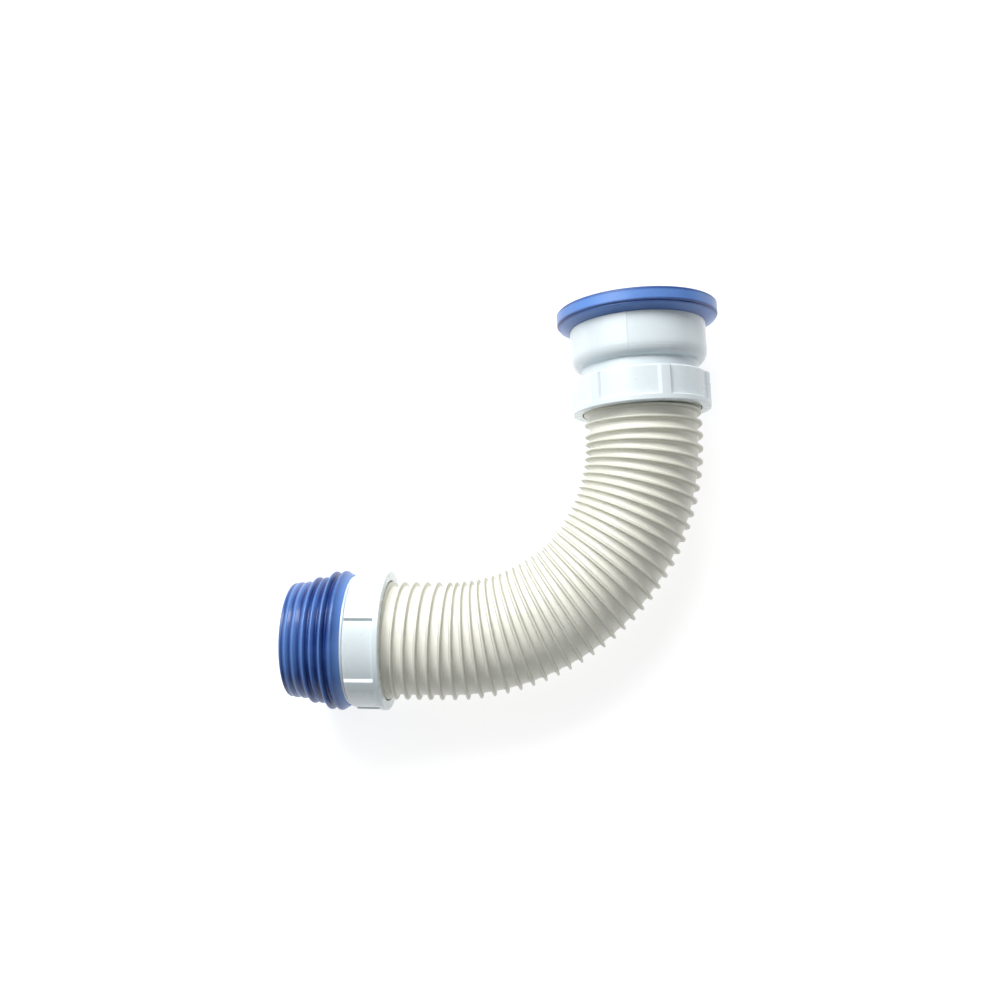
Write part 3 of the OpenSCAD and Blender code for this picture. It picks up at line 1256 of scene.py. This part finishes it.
@dataclass
class PanSeal:
    """The translucent lip seal in the socket, with its wide flange."""

    throat_r: float = 51.6
    socket_bore_r: float = 54.0
    socket_r: float = 57.0
    flange_r: float = 67.5
    rim_z: float = 72.0
    flange_z: float = 77.0
    top_z: float = 88.0
    depth: float = 19.0
    lip_r: float = 47.4
    lip_t: float = 1.6
    finish: Finish = BLUE_SEAL

    def build(self) -> None:
        """Makes the seal."""
        throat, bore, edge = self.throat_r, self.socket_bore_r, self.flange_r
        rim, brim, top = self.rim_z, self.flange_z, self.top_z
        lip, thin = self.lip_r, self.lip_t
        # A corner's last number, or rise, sets the seal's painted shade: deepest in the groove
        # under the flange and along its top edge, partial on the sleeve and the lips' roots,
        # none on the flange's outer face.
        section = rounded_section(
            [
                Corner(throat, rim - self.depth, 0.5, 0.4),
                Corner(bore, rim - self.depth, 0.4, 0.4),
                Corner(bore, rim, 0.0, 0.3),
                Corner(self.socket_r + 0.8, rim, 0.4, 0.5),
                Corner(edge - 3.0, brim - 1.7, 0.0, 0.9),
                Corner(edge - 1.6, brim - 1.0, 0.5, 0.6),
                Corner(edge - 1.6, brim, 0.3, 0.0),
                Corner(edge, brim + 1.0, 0.6, 0.5),
                Corner(edge, brim + 2.4, 0.0, 1.0),
                Corner(edge, top - 3.2, 0.0, 1.0),
                Corner(edge, top - 1.0, 0.8, 0.3),
                Corner(edge - 1.0, top, 0.8, 0.0),
                Corner(throat + 3.0, top, 1.5, 0.5),
                Corner(throat, top - 3.0, 1.5, 0.4),
                Corner(throat, rim + 6.0, 1.0, 0.4),
                Corner(lip, rim + 1.0, 0.6),
                Corner(lip, rim + 1.0 - thin, 0.6),
                Corner(throat, rim + 4.0 - thin, 1.0, 0.2),
                Corner(throat, rim - 8.0, 1.0, 0.3),
                Corner(lip, rim - 13.0, 0.6),
                Corner(lip, rim - 13.0 - thin, 0.6),
                Corner(throat, rim - 10.0 - thin, 1.0, 0.2),
            ]
        )
        put_ring("pan_seal_moulding", section, End.UPPER, self.finish, "pan_seal")


def yaw_matrix(degrees: float) -> Matrix:
    """A turn about the local axis."""
    return Matrix.Rotation(math.radians(degrees), 4, "Z")


def put_turned(
    mesh: bpy.types.Mesh,
    name: str,
    matrix: Matrix,
    finish: Finish,
    body: str,
    node: str,
) -> None:
    """Puts a turned moulding in its place.

    Args:
        mesh: the moulding about local Z.
        name: the piece's name.
        matrix: its placement.
        finish: its material.
        body: the body it rides on.
        node: the CAD node it stands for.
    """
    place_mesh(mesh, matrix, turned=True)
    piece = add_piece(mesh, name, finish)
    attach(piece, body)
    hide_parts(node)


def put_ring(
    name: str, section: Section, end: End, finish: Finish, node: str
) -> None:
    """Turns a section on an end's axis, as a moulding of that end's fitting."""
    mesh = RingForm(name, section).mesh()
    put_turned(mesh, name, end_matrix(end), finish, f"{end.value}_fitting", node)


@dataclass
class Trim:
    """The CAD nodes inside the unions that stay as they are, with their finishes."""

    finishes: dict[str, Finish] = field(
        default_factory=lambda: {
            "cuff": HOSE_END,
            "slip_ring": NYLON,
            "gasket": RUBBER,
        }
    )

    def dress(self) -> None:
        """Gives each node its material."""
        for end in End:
            for part, finish in self.finishes.items():
                node = frame["nodes"][f"{end.value}_{part}"]
                for slot in node.material_slots:
                    slot.material = finish.material()
                if not node.material_slots:
                    node.data.materials.append(finish.material())
                LOG.info("%s_%s: %s", end.value, part, finish.name)


# Studio.


@dataclass(frozen=True)
class Lamp:
    """A soft box: its place and size in metres, its power in watts, its colour."""

    name: str
    place: tuple[float, float, float]
    size: tuple[float, float]
    power: float
    colour: tuple[float, float, float]


@dataclass(frozen=True)
class Studio:
    """The camera, the lights and the floor, in metres and degrees."""

    target: tuple[float, float, float] = (0.0, 0.0, 0.069)
    tilt: tuple[float, float, float] = (-10.655, -8.992, 0.74)
    distance: float = 0.8
    sensor: float = 36.0
    lens: float = 34.421
    shift: tuple[float, float] = (-0.0021, 0.0027)
    floor_size: float = 6.0
    floor_grey: float = 0.36
    floor_roughness: float = 0.9
    floor_glow: float = 0.8
    sky_colour: tuple[float, float, float] = (0.95, 0.98, 1.0)
    sky_strength: float = 0.22
    lamp_aim: tuple[float, float, float] = (0.0, 0.0, 0.06)
    lamps: tuple[Lamp, ...] = (
        Lamp("key", (-0.3, 1.0, 1.3), (1.3, 0.7), 29.0, (1.0, 0.99, 0.97)),
        Lamp("fill", (-0.85, 0.45, 1.35), (0.8, 1.2), 7.0, (0.93, 0.98, 1.0)),
    )

    def build(self) -> None:
        """Makes everything that isn't the object."""
        self._camera()
        self._floor()
        self._sky()
        for lamp in self.lamps:
            self._light(lamp)

    def _camera(self) -> None:
        """The camera, above the object and leaning a little towards its lower right."""
        data = bpy.data.cameras.new("camera")
        data.sensor_width = self.sensor
        data.lens = self.lens
        data.shift_x, data.shift_y = self.shift
        x, y, z = (
            Matrix.Rotation(math.radians(angle), 3, axis)
            for angle, axis in zip(self.tilt, "XYZ")
        )
        turn = (z @ y @ x).transposed()
        made = new_object("camera", data)
        place = Vector(self.target) + turn @ Vector((0, 0, self.distance))
        made.matrix_world = Matrix.Translation(place) @ turn.to_4x4()
        bpy.context.scene.camera = made

    def _floor(self) -> None:
        """A plain pale floor."""
        half = self.floor_size / 2
        mesh = bpy.data.meshes.new("floor")
        signs = ((-1, -1), (1, -1), (1, 1), (-1, 1))
        corners = [(x * half, y * half, 0.0) for x, y in signs]
        mesh.from_pydata(corners, [], [(0, 1, 2, 3)])
        material = bpy.data.materials.new("floor")
        material.use_nodes = True
        Graph(material.node_tree).dress(
            {
                "Base Color": (*[self.floor_grey] * 3, 1.0),
                "Roughness": self.floor_roughness,
                "Emission Color": (1.0, 1.0, 1.0, 1.0),
                "Emission Strength": self.floor_glow,
            }
        )
        mesh.materials.append(material)
        new_object("floor", mesh)

    def _sky(self) -> None:
        """Soft white light from all round."""
        world = bpy.data.worlds.new("studio")
        world.use_nodes = True
        graph = Graph(world.node_tree)
        sky = graph.node(
            "ShaderNodeBackground",
            None,
            {"Color": (*self.sky_colour, 1.0), "Strength": self.sky_strength},
        )
        graph.node("ShaderNodeOutputWorld", None, {"Surface": sky})
        bpy.context.scene.world = world
        bpy.context.scene.view_settings.view_transform = "Standard"

    def _light(self, lamp: Lamp) -> None:
        """One soft box that faces the object."""
        data = bpy.data.lights.new(lamp.name, "AREA")
        data.shape = "RECTANGLE"
        data.size, data.size_y = lamp.size
        data.energy = lamp.power
        data.color = lamp.colour
        made = new_object(lamp.name, data)
        made.location = lamp.place
        aim = Vector(self.lamp_aim) - Vector(lamp.place)
        made.rotation_euler = aim.to_track_quat("-Z", "Y").to_euler()


def main() -> None:
    """Builds the studio and every piece."""
    logging.basicConfig(level=logging.INFO, format="%(name)s: %(message)s")
    Studio().build()
    Hose().build()
    UnionNut(End.LOWER, phase=24.0).build()
    UnionNut(End.UPPER, phase=16.0).build()
    Spigot().build()
    FinnedSeal().build()
    PanSocket().build()
    PanSeal().build()
    for end in End:
        Thread(end).build()
    Trim().dress()


if __name__ == "__main__":
    main()
